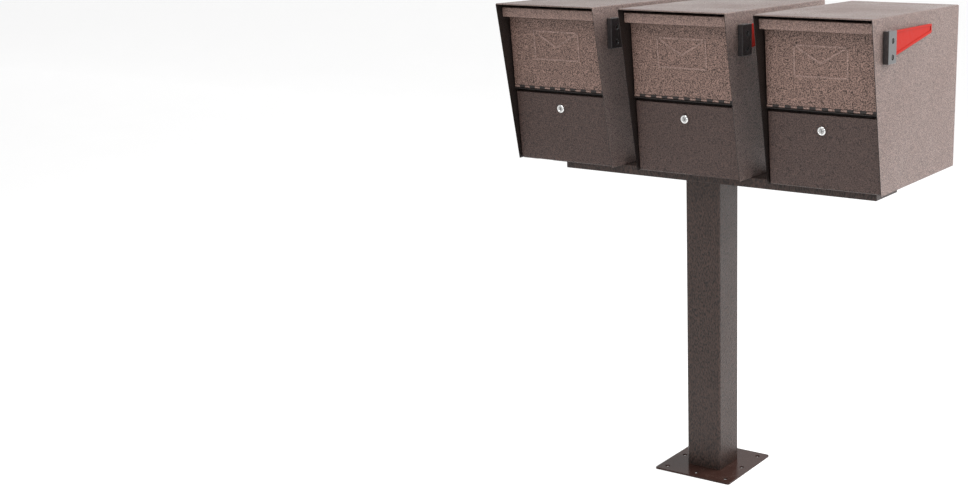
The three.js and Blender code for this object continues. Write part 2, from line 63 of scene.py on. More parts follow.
# Sizes of the real pieces, in millimetres
DOOR_WIDTH = 296
SHEET = 1.6
DOOR_SHEET = 1.9
BEND = 3.2
KNUCKLE_OUTER = 3.2
KNUCKLE_SHEET = 1.2
KNUCKLE_GAP = 0.4
KNUCKLE_RELIEF = 1.2
UPPER_KNUCKLES = 18
LOWER_KNUCKLES = 6
UPPER_AXIS = 198
LOWER_AXIS = 4
UPPER_DOOR_TOP = 411
LOWER_DOOR_TOP = 184
LOWER_DOOR_BOTTOM = 3.6
LOWER_SETBACK = 5
FLANGE_DEPTH = 12
LIP_REACH = 25
LIP_HEIGHT = 25
LIP_RETURN = 5
RAIL_DEPTH = 21
STRIKE_HEIGHT = 24
LOCK_HEIGHT = 147
SEAM_FILL = 1.0045  # widens the back panel, so that no light shows past its welded side seams
LOWER_HINGE_DEPTH = LOWER_SETBACK + DOOR_SHEET + 0.5 + KNUCKLE_OUTER
UPPER_HINGE = (KNUCKLE_OUTER, UPPER_AXIS)
LOWER_HINGE = (LOWER_HINGE_DEPTH, LOWER_AXIS)
POST_SIZE = 101.6
POST_WALL = 3.2
POST_CORNER = 7
PLATE_CORNER = 5
ANCHOR_OFFSET = 90
ANCHOR_RADIUS = 6.5


# ---------------------------------------------------------------- places

def joint(name):
    return next(j for j in frame["record"]["behaviour"]["joints"] if j["name"] == name)


def front_place(side):
    """Frame of the leaning front: y = 0 on the incoming door's face, z up the door plane, in metres."""
    inward = -Vector(joint(f"{side}_lock_turn")["axis"])
    across = Vector((1, 0, 0))
    up = across.cross(inward)
    hinge = Vector(joint(f"{side}_incoming_hinge")["pos_m"])
    origin = hinge - inward * UPPER_HINGE[0] * MM - up * UPPER_HINGE[1] * MM
    return Matrix((
        (across.x, inward.x, up.x, origin.x),
        (across.y, inward.y, up.y, origin.y),
        (across.z, inward.z, up.z, origin.z),
        (0, 0, 0, 1),
    ))


def shell_place(side):
    """Frame of a mailbox: x = 0 at mid width, y = 0 at the hood's front edge, z = 0 under the floor."""
    low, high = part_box(f"{side}_housing")
    return Matrix.Translation(((low.x + high.x) / 2, low.y, low.z))


# ---------------------------------------------------------------- mesh building, in millimetres

def turned(points, centre, radius, start, end, steps):
    """Adds an arc to a list of points, from one angle to another in degrees."""
    for i in range(steps + 1):
        angle = math.radians(start + (end - start) * i / steps)
        points.append((centre[0] + radius * math.cos(angle), centre[1] + radius * math.sin(angle)))
    return points


def rounded_path(corners, radius, steps=5):
    """An open path whose inner corners are rounded."""
    path = [Vector(corners[0])]
    for before, here, after in zip(corners, corners[1:], corners[2:]):
        here = Vector(here)
        to_before = (Vector(before) - here).normalized()
        to_after = (Vector(after) - here).normalized()
        half = to_before.angle(to_after) / 2
        reach = radius / math.tan(half)
        centre = here + (to_before + to_after).normalized() * radius / math.sin(half)
        first = here + to_before * reach - centre
        last = here + to_after * reach - centre
        for i in range(steps + 1):
            blend = first.slerp(last, i / steps)
            path.append(centre + blend.normalized() * radius)
    path.append(Vector(corners[-1]))
    return path


def thickened(path, thickness):
    """Closed outline of a sheet that lies to the left of an open path."""
    path = [Vector(p) for p in path]
    inner = []
    for i, here in enumerate(path):
        ahead = (path[min(i + 1, len(path) - 1)] - here).normalized() if i < len(path) - 1 else None
        behind = (here - path[i - 1]).normalized() if i > 0 else None
        sides = [Vector((-d.y, d.x)) for d in (behind, ahead) if d is not None]
        normal = sum(sides, Vector((0, 0))).normalized()
        mitre = max(0.3, normal.dot(sides[0]))
        inner.append(here + normal * thickness / mitre)
    return path + inner[::-1]


def prism(bm, outline, span, axes, paint=0):
    """Extrudes an outline. axes names the outline's two directions and the extrusion's, such as "yzx"."""
    order = ["xyz".index(a) for a in axes]

    def vertex(point, depth):
        place = [0, 0, 0]
        place[order[0]], place[order[1]], place[order[2]] = point[0], point[1], depth
        return bm.verts.new(place)

    start = [vertex(p, span[0]) for p in outline]
    end = [vertex(p, span[1]) for p in outline]
    count = len(outline)
    ring = [(i, (i + 1) % count) for i in range(count)]
    faces = [bm.faces.new((start[i], start[j], end[j], end[i])) for i, j in ring]
    faces += [bm.faces.new(start[::-1]), bm.faces.new(end)]
    for face in faces:
        face.material_index = paint
    bmesh.ops.recalc_face_normals(bm, faces=faces)


def brick(bm, xs, ys, zs):
    """A block between two limits on each axis."""
    prism(bm, [(xs[0], ys[0]), (xs[1], ys[0]), (xs[1], ys[1]), (xs[0], ys[1])], zs, "xyz")


def tube(bm, centre, outer, inner, span, steps=28, paint=0):
    """A ring along x round a centre given as (y, z)."""
    last = 360 - 360 / steps
    rings = []
    for x, radius in ((span[0], outer), (span[1], outer), (span[1], inner), (span[0], inner)):
        rings.append([bm.verts.new((x, *p)) for p in turned([], centre, radius, 0, last, steps - 1)])
    faces = []
    for near, far in zip(rings, rings[1:] + rings[:1]):
        for i in range(steps):
            j = (i + 1) % steps
            faces.append(bm.faces.new((near[i], near[j], far[j], far[i])))
            faces[-1].material_index = paint
    bmesh.ops.recalc_face_normals(bm, faces=faces)


def revolved(bm, profile, steps=48):
    """Turns a profile of (radius, height) points round z. It starts and ends on the axis, or closes."""
    angles = [2 * math.pi * i / steps for i in range(steps)]
    rings = []
    for radius, height in profile:
        around = angles if radius > 0 else angles[:1]
        rings.append([bm.verts.new((radius * math.cos(a), radius * math.sin(a), height)) for a in around])
    faces = []
    for low, high in zip(rings, rings[1:]):
        for i in range(steps):
            j = (i + 1) % steps
            corners = [low[i % len(low)], low[j % len(low)], high[j % len(high)], high[i % len(high)]]
            unique = list(dict.fromkeys(corners))
            faces.append(bm.faces.new(unique))
    bmesh.ops.recalc_face_normals(bm, faces=faces)


def finished(name, bm, place, paints, bevel=0.35, segments=2):
    """Turns a bmesh in millimetres into an object in the frame, with softened edges."""
    bm.transform(place @ Matrix.Scale(MM, 4))
    mesh = bpy.data.meshes.new(name)
    bm.to_mesh(mesh)
    bm.free()
    mesh.shade_smooth()
    piece = bpy.data.objects.new(name, mesh)
    bpy.context.scene.collection.objects.link(piece)
    for paint in paints if isinstance(paints, tuple) else (paints,):
        mesh.materials.append(paint)
    if bevel:
        soften(piece, bevel, segments)
    return piece


def soften(piece, width, segments=2):
    """Rounds the sharp edges, in millimetres, and keeps the flat faces looking flat."""
    edges = piece.modifiers.new("soft_edges", "BEVEL")
    edges.width = width * MM
    edges.segments = segments
    edges.limit_method = "ANGLE"
    edges.angle_limit = math.radians(38)
    edges.harden_normals = True
    edges.use_clamp_overlap = True
    flat = piece.modifiers.new("flat_faces", "WEIGHTED_NORMAL")
    flat.weight = 80
    flat.keep_sharp = True


def carved(piece, cutters, operation="DIFFERENCE"):
    """Cuts the cutters out of a piece, or joins them on, and bakes the result before edges are softened."""
    for cutter in cutters:
        cut = piece.modifiers.new("cut", "BOOLEAN")
        cut.operation = operation
        cut.solver = "EXACT"
        cut.object = cutter
    graph = bpy.context.evaluated_depsgraph_get()
    mesh = bpy.data.meshes.new_from_object(piece.evaluated_get(graph))
    piece.modifiers.clear()
    piece.data = mesh
    mesh.shade_smooth()
    for cutter in cutters:
        bpy.data.objects.remove(cutter)
    return piece


def rod(name, place, centre, radius, span, axes, material, steps=32):
    """A round cutter."""
    bm = bmesh.new()
    outline = turned([], centre, radius, 0, 360 - 360 / steps, steps - 1)
    prism(bm, outline, span, axes)
    return finished(name, bm, place, material, bevel=0)


def show_as(piece, node, body):
    """The piece stands for a CAD node and moves with its body."""
    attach(piece, body)
    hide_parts(node)
    return piece


def refined(node, body, paints, bevel, segments=2, is_inside=None):
    """A CAD node's form with its edges softened. Faces that is_inside picks get the second paint."""
    bm = bmesh.new()
    bm.from_mesh(frame["nodes"][node].data)
    bmesh.ops.remove_doubles(bm, verts=bm.verts, dist=2e-6)
    bmesh.ops.dissolve_limit(bm, angle_limit=math.radians(1), verts=bm.verts, edges=bm.edges)
    for face in bm.faces:
        face.material_index = 1 if is_inside and is_inside(face) else 0
    bm.transform(Matrix.Scale(1 / MM, 4))
    piece = finished(f"{node}_shape", bm, Matrix.Identity(4), paints, bevel, segments)
    return show_as(piece, node, body)


# ---------------------------------------------------------------- materials

class Nodes:
    """Adds shader nodes one at a time and links them."""

    def __init__(self, name):
        self.material = bpy.data.materials.new(name)
        self.material.use_nodes = True
        self.tree = self.material.node_tree
        self.shader = self.tree.nodes["Principled BSDF"]
        self.place = self.tree.nodes.new("ShaderNodeTexCoord").outputs["Object"]

    def add(self, kind, links=(), **settings):
        node = self.tree.nodes.new(kind)
        for key, value in settings.items():
            setattr(node, key, value)
        for socket, value in dict(links).items():
            self.set(node.inputs[socket], value)
        return node

    def set(self, socket, value):
        if isinstance(value, bpy.types.NodeSocket):
            self.tree.links.new(value, socket)
        else:
            socket.default_value = value

    def surface(self, **values):
        for name, value in values.items():
            self.set(self.shader.inputs[name.replace("_", " ")], value)

    def noise(self, scale, detail=4, roughness=0.5, place=None):
        links = {"Vector": place or self.place, "Scale": scale, "Detail": detail, "Roughness": roughness}
        return self.add("ShaderNodeTexNoise", links).outputs["Fac"]

    def cells(self, scale):
        return self.add("ShaderNodeTexVoronoi", {"Vector": self.place, "Scale": scale}).outputs["Distance"]

    def ranged(self, value, low, high, to_low=0.0, to_high=1.0):
        links = {"Value": value, "From Min": low, "From Max": high, "To Min": to_low, "To Max": to_high}
        return self.add("ShaderNodeMapRange", links).outputs["Result"]

    def maths(self, operation, a, b):
        return self.add("ShaderNodeMath", {0: a, 1: b}, operation=operation).outputs["Value"]

    def mixed(self, factor, dark, light):
        node = self.add("ShaderNodeMix", data_type="RGBA")
        self.set(node.inputs["Factor"], factor)
        self.set(node.inputs[6], dark)
        self.set(node.inputs[7], light)
        return node.outputs[2]

    def bump(self, height, distance):
        return self.add("ShaderNodeBump", {"Height": height, "Distance": distance}).outputs["Normal"]

    def vectors(self, operation, links):
        return self.add("ShaderNodeVectorMath", links, operation=operation).outputs[0]

    def warped(self, scale, amount):
        """Place with a gentle random swirl, in metres."""
        links = {"Vector": self.place, "Scale": scale, "Detail": 2}
        swirl = self.add("ShaderNodeTexNoise", links).outputs["Color"]
        centred = self.vectors("SUBTRACT", {0: swirl, 1: (0.5, 0.5, 0.5)})
        return self.vectors("ADD", {0: self.place, 1: self.vectors("SCALE", {0: centred, 3: amount})})


def hammered_coat(name, dark, light, metallic, coat=0.15, run=1.0):
    """Hammered bronze powder coat: rounded ripples about 3 mm apart, with painted shade in their hollows and
    painted light on their tops, and fine metal flake.

    A run below 1 draws the ripples out down the piece.
    """
    n = Nodes(name)
    drawn = n.add("ShaderNodeMapping", {"Vector": n.warped(110, 0.004), "Scale": (1, 1, run)}).outputs[0]
    ripples = n.ranged(n.noise(430, 2, 0.5, drawn), 0.4, 0.6)
    flake = n.noise(1900, 3, 0.7)
    broad = n.noise(7, 3)
    # The ripples darken the colour in their hollows and lighten it on their tops, which is painted shade and
    # painted light. The flake is the coat's own.
    ripple_shade_and_flake = n.maths("ADD", n.maths("MULTIPLY", ripples, 0.75), n.maths("MULTIPLY", flake, 0.4))
    colour = n.mixed(n.ranged(ripple_shade_and_flake, 0.15, 1.0), (*dark, 1), (*light, 1))
    height = n.maths("ADD", ripples, n.maths("MULTIPLY", flake, 0.08))
    roughness = n.ranged(n.maths("ADD", broad, n.maths("MULTIPLY", flake, 0.3)), 0.4, 0.9, 0.3, 0.46)
    n.surface(Base_Color=colour, Roughness=roughness, Normal=n.bump(height, 0.0005))
    n.shader.inputs["Metallic"].default_value = metallic
    n.shader.inputs["Coat Weight"].default_value = coat
    n.shader.inputs["Coat Roughness"].default_value = 0.22
    return n.material


def gloss_coat():
    """Smooth dark bronze enamel with a faint orange peel, and dust in broad patches."""
    n = Nodes("smooth_bronze_enamel")
    peel = n.noise(700, 2)
    dust = n.ranged(n.noise(28, 6, 0.65), 0.52, 0.8)
    colour = n.mixed(n.maths("MULTIPLY", dust, 0.25), (0.03, 0.014, 0.011, 1), (0.09, 0.06, 0.05, 1))
    n.surface(Base_Color=colour, Roughness=n.ranged(dust, 0, 1, 0.2, 0.4))
    n.surface(Normal=n.bump(peel, 0.00008))
    n.shader.inputs["Specular IOR Level"].default_value = 0.12
    return n.material


def bare_steel():
    """Zinc-plated steel with crystal spangle and fine rolling marks."""
    n = Nodes("zinc_plated_steel")
    stretched = n.add("ShaderNodeMapping", {"Vector": n.place, "Scale": (1, 30, 30)}).outputs[0]
    marks = n.noise(90, 4, 0.6, stretched)
    spangle = n.cells(260)
    colour = n.mixed(n.ranged(spangle, 0.1, 0.8), (0.46, 0.47, 0.47, 1), (0.72, 0.71, 0.68, 1))
    n.surface(Base_Color=colour, Metallic=1.0, Roughness=n.ranged(marks, 0.3, 0.7, 0.26, 0.42))
    n.surface(Normal=n.bump(marks, 0.00003))
    return n.material


def polished_chrome(name, shade, roughness):
    n = Nodes(name)
    haze = n.noise(320, 4, 0.6)
    scratches = n.add("ShaderNodeMapping", {"Vector": n.place, "Scale": (9, 1, 1)}).outputs[0]
    lines = n.noise(900, 2, 0.5, scratches)
    hazy = (0.92 * shade, 0.92 * shade, 0.9 * shade, 1)
    n.surface(Base_Color=n.mixed(haze, (shade, shade, shade, 1), hazy))
    n.shader.inputs["Metallic"].default_value = 1.0
    n.surface(Roughness=n.ranged(haze, 0.35, 0.75, roughness, roughness + 0.09))
    n.surface(Normal=n.bump(lines, 0.000012))
    return n.material


def moulded_plastic(name, colour, faded, roughness, specular, coat=0.0):
    """Injection-moulded plastic: even colour, a fine moulded grain and slightly dull patches."""
    n = Nodes(name)
    grain = n.noise(2200, 2, 0.5)
    patches = n.noise(35, 4, 0.6)
    n.surface(Base_Color=n.mixed(n.ranged(patches, 0.35, 0.8), (*colour, 1), (*faded, 1)))
    n.surface(Roughness=n.ranged(patches, 0.3, 0.8, roughness, roughness + 0.16))
    n.surface(Normal=n.bump(grain, 0.00003))
    n.shader.inputs["Specular IOR Level"].default_value = specular
    n.shader.inputs["Coat Weight"].default_value = coat
    n.shader.inputs["Coat Roughness"].default_value = 0.06
    return n.material


# Painted shadow for keyways, slots and cross recesses, with a faint mottle.
def dark_hollow():
    n = Nodes("keyway_shadow")
    mottle = n.noise(2500, 3)
    n.surface(Base_Color=n.mixed(mottle, (0.004, 0.004, 0.004, 1), (0.02, 0.018, 0.016, 1)), Roughness=0.8)
    return n.material


def floor_paint():
    """Matt white, lifted a little by its own light so that the floor reads as plain white."""
    n = Nodes("studio_floor")
    n.surface(Base_Color=(0.45, 0.45, 0.45, 1), Roughness=n.ranged(n.noise(3), 0.3, 0.7, 0.6, 0.7))
    n.shader.inputs["Emission Color"].default_value = (1, 1, 1, 1)
    n.shader.inputs["Emission Strength"].default_value = 0.6
    return n.material


COAT = hammered_coat("hammered_bronze_coat", (0.014, 0.007, 0.006), (0.088, 0.053, 0.044), 0.3, 0.05)
# Painted light: a lighter copy of the coat for the housing's outside, whose side and top catch the most
# light.
LIT_SHELL_COAT = hammered_coat("hammered_bronze_lit_shell", (0.062, 0.044, 0.04), (0.25, 0.18, 0.16), 0.3, 0.0)
# Painted light: the incoming doors take a lighter copy of the coat, for the light they catch above the access
# doors.
LIT_DOOR_COAT = hammered_coat("hammered_bronze_lit_door", (0.016, 0.008, 0.006), (0.29, 0.18, 0.146), 0.4)
# Painted highlight: a lighter copy of the coat for the lip's face, the envelope's raised lines and the rail's
# knuckles, where they catch more light.
HIGHLIGHT_COAT = hammered_coat("hammered_bronze_painted_highlight", (0.09, 0.055, 0.045), (0.34, 0.225, 0.19), 0.4)
# Painted shade: a darker copy of the coat for the post, its cap plate and the spreader, in the boxes' shadow.
SHADED_POST_COAT = hammered_coat("hammered_bronze_shaded_post", (0.008, 0.005, 0.004), (0.058, 0.033, 0.026), 0.3, 0.0, 0.3)
# Painted shade: a near-black copy of the coat for the box's inner walls and undersides, the hinge rail and
# the upper door's knuckles.
SHADED_COAT = hammered_coat("hammered_bronze_painted_shade", (0.006, 0.004, 0.003), (0.022, 0.013, 0.011), 0.2, 0.0)
ENAMEL = gloss_coat()
STEEL = bare_steel()
CHROME = polished_chrome("lock_chrome_plate", 0.8, 0.08)
PLUG_CHROME = polished_chrome("lock_plug_chrome", 0.5, 0.2)
# Painted shade: the screw chrome is made near black, for the shadow down in the counterbores.
SHADED_SCREW_CHROME = polished_chrome("screw_chrome_painted_shade", 0.12, 0.3)
BLACK = moulded_plastic("black_bracket_plastic", (0.004, 0.004, 0.005), (0.01, 0.01, 0.011), 0.15, 0.9, 1.0)
RED = moulded_plastic("red_flag_plastic", (0.25, 0.009, 0.005), (0.28, 0.012, 0.007), 0.5, 0.2)
HOLLOW = dark_hollow()


# ---------------------------------------------------------------- hinges

def knuckle_spans(count, turn):
    """The stretches of a hinge's width taken by its fixed (turn 0) or moving (turn 1) knuckles."""
    pitch = DOOR_WIDTH / count
    starts = [-DOOR_WIDTH / 2 + i * pitch for i in range(turn, count, 2)]
    return [(x + KNUCKLE_GAP / 2, x + pitch - KNUCKLE_GAP / 2) for x in starts]


def front_curl(hinge, edge):
    """Sheet that runs down a door's face and curls back round the pin."""
    y = hinge[0]
    middle = KNUCKLE_OUTER - KNUCKLE_SHEET
    outside = [(y - KNUCKLE_OUTER, edge)] + turned([], hinge, KNUCKLE_OUTER, 180, 470, 26)
    inside = [(y - middle, edge)] + turned([], hinge, middle, 180, 470, 26)
    return outside + inside[::-1]


def moving_knuckles(bm, count, hinge, edge, paint):
    for span in knuckle_spans(count, 1):
        prism(bm, front_curl(hinge, edge), span, "yzx", paint)


def fixed_knuckles(bm, count, hinge, paint=0):
    for span in knuckle_spans(count, 0):
        tube(bm, hinge, KNUCKLE_OUTER, KNUCKLE_OUTER - KNUCKLE_SHEET, span, paint=paint)


def hinge_pin(side, node, hinge, place):
    bm = bmesh.new()
    half = DOOR_WIDTH / 2
    left, right = -half + 0.5, half - 0.5
    revolved(bm, [(0, -half), (1.1, -half), (1.5, left), (1.5, right), (1.1, half), (0, half)], 20)
    bm.transform(Matrix.Translation((0, *hinge)) @ Matrix.Rotation(math.pi / 2, 4, "Y"))
    piece = finished(f"{side}_{node}_shape", bm, place, STEEL, 0)
    return show_as(piece, f"{side}_{node}", STAND)


# ---------------------------------------------------------------- doors

def door_pan(bm, bottom, top):
    """The incoming door's face with both side edges folded back."""
    half = DOOR_WIDTH / 2
    corners = [(-half, FLANGE_DEPTH), (-half, 0), (half, 0), (half, FLANGE_DEPTH)]
    prism(bm, thickened(rounded_path(corners, BEND), DOOR_SHEET), (bottom, top), "xyz")


def pull_lip(bm):
    """Full-width lip: out from the door's top edge, down in front, and a short return below."""
    top, half = UPPER_DOOR_TOP, DOOR_WIDTH / 2
    low = top - LIP_HEIGHT
    front, back = -LIP_REACH, -LIP_REACH + LIP_RETURN
    corners = [(DOOR_SHEET, top - 6), (DOOR_SHEET, top), (front, top), (front, low), (back, low)]
    # The lip is in painted highlight, for the light that its forward face catches.
    prism(bm, thickened(rounded_path(corners, 2.2), DOOR_SHEET), (-half, half), "yzx", paint=1)


def stroke(bm, start, end, width, proud):
    """A raised bar on the door's face between two points of it."""
    a, b = Vector(start), Vector(end)
    side = (b - a).normalized().orthogonal() * width / 2
    outline = [a + side, b + side, b - side, a - side]
    # The raised bars are in painted highlight.
    prism(bm, [tuple(p) for p in outline], (-proud, 0.6), "xzy", paint=1)


def envelope_mark(bm):
    """A plain envelope in raised lines on the incoming door."""
    width, height, middle, line, proud = 144, 78, 312, 5, 1.2
    left, right = -width / 2 + line / 2, width / 2 - line / 2
    low, high = middle - height / 2 + line / 2, middle + height / 2 - line / 2
    for z in (low, high):
        stroke(bm, (left - line / 2, z), (right + line / 2, z), line, proud)
    for x in (left, right):
        stroke(bm, (x, low), (x, high), line, proud)
    point = (0, middle - 4)
    stroke(bm, (left, high), point, line, proud)
    stroke(bm, point, (right, high), line, proud)


def incoming_door(side, place):
    bm = bmesh.new()
    bottom = UPPER_AXIS + KNUCKLE_OUTER + KNUCKLE_RELIEF
    door_pan(bm, bottom, UPPER_DOOR_TOP - DOOR_SHEET)
    pull_lip(bm)
    # The door's knuckles are in painted shade, so that they read as dark dashes beside the rail's lighter
    # knuckles.
    moving_knuckles(bm, UPPER_KNUCKLES, UPPER_HINGE, bottom + 1, paint=2)
    envelope_mark(bm)
    piece = finished(f"{side}_incoming_door_shape", bm, place, (LIT_DOOR_COAT, HIGHLIGHT_COAT, SHADED_COAT), 0.4, 3)
    return show_as(piece, f"{side}_incoming_door", f"{side}_upper_door")


def folded_pan(bm, xs, ys, zs, radius):
    """A shallow pan, open behind and below, with rounded folds round its front."""
    brick(bm, xs, ys, zs)
    folds = []
    for edge in bm.edges:
        at_front = all(abs(v.co.y - ys[0]) < 0.01 for v in edge.verts)
        at_foot = all(abs(v.co.z - zs[0]) < 0.01 for v in edge.verts)
        if at_front and not at_foot:
            folds.append(edge)
    bmesh.ops.bevel(bm, geom=folds, offset=radius, segments=6, profile=0.5, affect="EDGES")
    open_sides = []
    for face in bm.faces:
        behind = all(abs(v.co.y - ys[1]) < 0.01 for v in face.verts)
        below = all(abs(v.co.z - zs[0]) < 0.01 for v in face.verts)
        if behind or below:
            open_sides.append(face)
    bmesh.ops.delete(bm, geom=open_sides, context="FACES")
    bmesh.ops.solidify(bm, geom=bm.faces[:], thickness=DOOR_SHEET)


def access_door(side, place):
    """Folded pan hinged behind the lower edge of its face."""
    front, half = LOWER_SETBACK, DOOR_WIDTH / 2
    foot = LOWER_AXIS + KNUCKLE_OUTER + KNUCKLE_RELIEF
    bm = bmesh.new()
    folded_pan(bm, (-half, half), (front, front + FLANGE_DEPTH), (foot, LOWER_DOOR_TOP), BEND)
    piece = finished(f"{side}_access_door_shape", bm, place, COAT, 0)
    apron = bmesh.new()
    reach = half - BEND
    brick(apron, (-reach, reach), (front, front + DOOR_SHEET), (LOWER_DOOR_BOTTOM, foot + 1))
    carved(piece, [finished("apron", apron, place, COAT, 0)], "UNION")
    soften(piece, 0.4, 3)
    show_as(piece, f"{side}_access_door", f"{side}_lower_door")
    curls = bmesh.new()
    for span in knuckle_spans(LOWER_KNUCKLES, 1):
        over = (LOWER_AXIS + KNUCKLE_OUTER - KNUCKLE_SHEET + 0.1, LOWER_AXIS + KNUCKLE_OUTER)
        brick(curls, span, (front + 1, LOWER_HINGE_DEPTH), over)
        tube(curls, LOWER_HINGE, KNUCKLE_OUTER, KNUCKLE_OUTER - KNUCKLE_SHEET, span)
    knuckles = finished(f"{side}_access_door_knuckles", curls, place, COAT, 0.2)
    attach(knuckles, f"{side}_lower_door")


def hinge_rail(side, place):
    bm = bmesh.new()
    top = UPPER_AXIS - KNUCKLE_OUTER - 0.8
    low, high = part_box(f"{side}_hinge_rail")
    half = (high.x - low.x) / 2 / MM
    corners = [(0, top), (RAIL_DEPTH, top), (RAIL_DEPTH, top - STRIKE_HEIGHT)]
    prism(bm, thickened(rounded_path(corners, 2.4), -DOOR_SHEET), (-half, half), "yzx")
    fixed_knuckles(bm, UPPER_KNUCKLES, UPPER_HINGE, paint=1)
    for span in knuckle_spans(UPPER_KNUCKLES, 0):
        brick(bm, span, (2 * KNUCKLE_OUTER - KNUCKLE_SHEET, 2 * KNUCKLE_OUTER), (top - 0.5, UPPER_AXIS))
    # The rail is in painted shade, for the shadow under the upper door, and its knuckles are in painted
    # highlight.
    piece = finished(f"{side}_hinge_rail_shape", bm, place, (SHADED_COAT, HIGHLIGHT_COAT), 0.3)
    return show_as(piece, f"{side}_hinge_rail", STAND)


# ---------------------------------------------------------------- lock

def upright(place, height):
    """Turns a piece made along z so that its foot points into the door at the lock's axis."""
    return place @ Matrix.Translation((0, 0, height * MM)) @ Matrix.Rotation(math.pi / 2, 4, "X")


def lock_body(side, place):
    """Round head with a bevelled rim round a shallow dish, on a barrel. z points out of the door."""
    face, seat, end = 5.0, -4.7, -20.0
    rim = [(6.4, face - 0.7), (7.0, face - 0.7), (7.5, face - 0.1), (9.2, face), (10.3, face - 0.5)]
    head = [(10.9, face - 1.6), (11, face - 2.4), (11, seat + 0.4), (10.7, seat)]
    barrel = [(9.3, seat), (9.3, end + 0.6), (8.8, end), (6.4, end)]
    profile = rim + head + barrel
    bm = bmesh.new()
    revolved(bm, profile + profile[:1], 64)
    piece = finished(f"{side}_lock_body_shape", bm, upright(place, LOCK_HEIGHT), CHROME, 0.12)
    return show_as(piece, f"{side}_lock_body", f"{side}_lower_door")


def lock_plug(side, place):
    """Key plug with a slot and a half-round keyway beside it, and a square tail for the cam."""
    face, end, tail = 5.4, -20.0, -26.0
    profile = [(0, face), (5.3, face), (5.8, face - 0.3), (6, face - 0.9), (6, end), (0, end)]
    bm = bmesh.new()
    revolved(bm, profile, 48)
    brick(bm, (-3.5, 3.5), (-3.5, 3.5), (tail, end + 0.5))
    stand = upright(place, LOCK_HEIGHT)
    piece = finished(f"{side}_lock_plug_shape", bm, stand, PLUG_CHROME, 0)
    slot = bmesh.new()
    prism(slot, [(-0.9, -4.3), (0.6, -4.3), (0.6, 4.3), (-0.9, 4.3)], (face - 6, face + 2), "xyz")
    crescent = turned([], (0.7, 0), 3.0, -80, 80, 12)
    half_round = bmesh.new()
    prism(half_round, crescent, (face - 5, face + 2), "xyz")
    cutters = (("slot_cut", slot), ("keyway_cut", half_round))
    carved(piece, [finished(name, cutter, stand, HOLLOW, 0) for name, cutter in cutters])
    soften(piece, 0.1)
    return show_as(piece, f"{side}_lock_plug", f"{side}_lock_core")


def lock_parts(side, place):
    lock_body(side, place)
    lock_plug(side, place)
    refined(f"{side}_lock_cam", f"{side}_lock_core", STEEL, 0.4)
    refined(f"{side}_lock_nut", f"{side}_lower_door", STEEL, 0.4)


# ---------------------------------------------------------------- shell

def floor_pan(side, place, front):
    """Floor tray with turned-up sides, and its front edge rolled into the lower hinge's knuckles."""
    bm = bmesh.new()
    low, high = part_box(f"{side}_floor_pan")
    half = (high.x - low.x) / 2 / MM
    back = (high.y - place.translation.y) / MM
    hinge_world = front @ (Vector((0, *LOWER_HINGE)) * MM)
    hinge_local = (place.inverted() @ hinge_world) / MM
    hinge = (hinge_local.y, hinge_local.z)
    start = hinge[0] + KNUCKLE_OUTER + KNUCKLE_RELIEF
    corners = [(-half, 18), (-half, 0), (half, 0), (half, 18)]
    prism(bm, thickened(rounded_path(corners, 2.4), SHEET), (start, back), "xzy")
    fixed_knuckles(bm, LOWER_KNUCKLES, hinge)
    for span in knuckle_spans(LOWER_KNUCKLES, 0):
        brick(bm, span, (hinge[0] + KNUCKLE_OUTER - KNUCKLE_SHEET + 0.1, start + 1), (0.05, hinge[1]))
    piece = finished(f"{side}_floor_pan_shape", bm, place, COAT, 0.3)
    return show_as(piece, f"{side}_floor_pan", STAND)


def shell(side, place):
    """Wrap, back panel, baffle and hopper: the CAD's forms with softened edges and paint. The wrap and back
    panel take a lighter copy of the coat, which is painted light.
    """
    middle = place.translation.x

    def faces_in_painted_shade(face):
        """True on the inner faces of the wrap's walls and on faces that point downward, such as the roof's
        underside: these get painted shade.
        """
        centre = face.calc_center_median()
        towards_middle = face.normal.x * (centre.x - middle) < -1e-5
        return towards_middle or face.normal.z < -0.1

    paints = (LIT_SHELL_COAT, SHADED_COAT)
    refined(f"{side}_housing", STAND, paints, 0.45, is_inside=faces_in_painted_shade)
    panel = refined(f"{side}_back_panel", STAND, LIT_SHELL_COAT, 0.4)
    centred = Matrix.Translation((-middle, 0, 0))
    panel.data.transform(centred.inverted() @ Matrix.Diagonal((SEAM_FILL, 1, 1, 1)) @ centred)
    refined(f"{side}_baffle", STAND, COAT, 0.4)
    refined(f"{side}_mail_hopper", f"{side}_upper_door", COAT, 0.4)


# ---------------------------------------------------------------- flag

BRACKET_FRONT = 64
BRACKET_DEPTH = 46
BRACKET_BOTTOM = 312
BRACKET_HEIGHT = 76
BRACKET_WALL = 6
BRACKET_THICKNESS = 14
FLAG_SLOT = 6
FLAG_THICKNESS = 4.8
FLAG_REACH = 250
RECESS_DEPTH = 1.6
FLAG_PIVOT = (89, 365)
MOUNT_SCREW = (89, 327)
SCREW_HOLE = 2.8
COUNTERBORE = 6.6
BOSS_RADIUS = 7
HALF_WIDTH = 152.4
BRACKET_X = HALF_WIDTH + 0.3
SLOT_X = BRACKET_X + 3.4
HEAD_SEAT = BRACKET_X + BRACKET_THICKNESS - 3


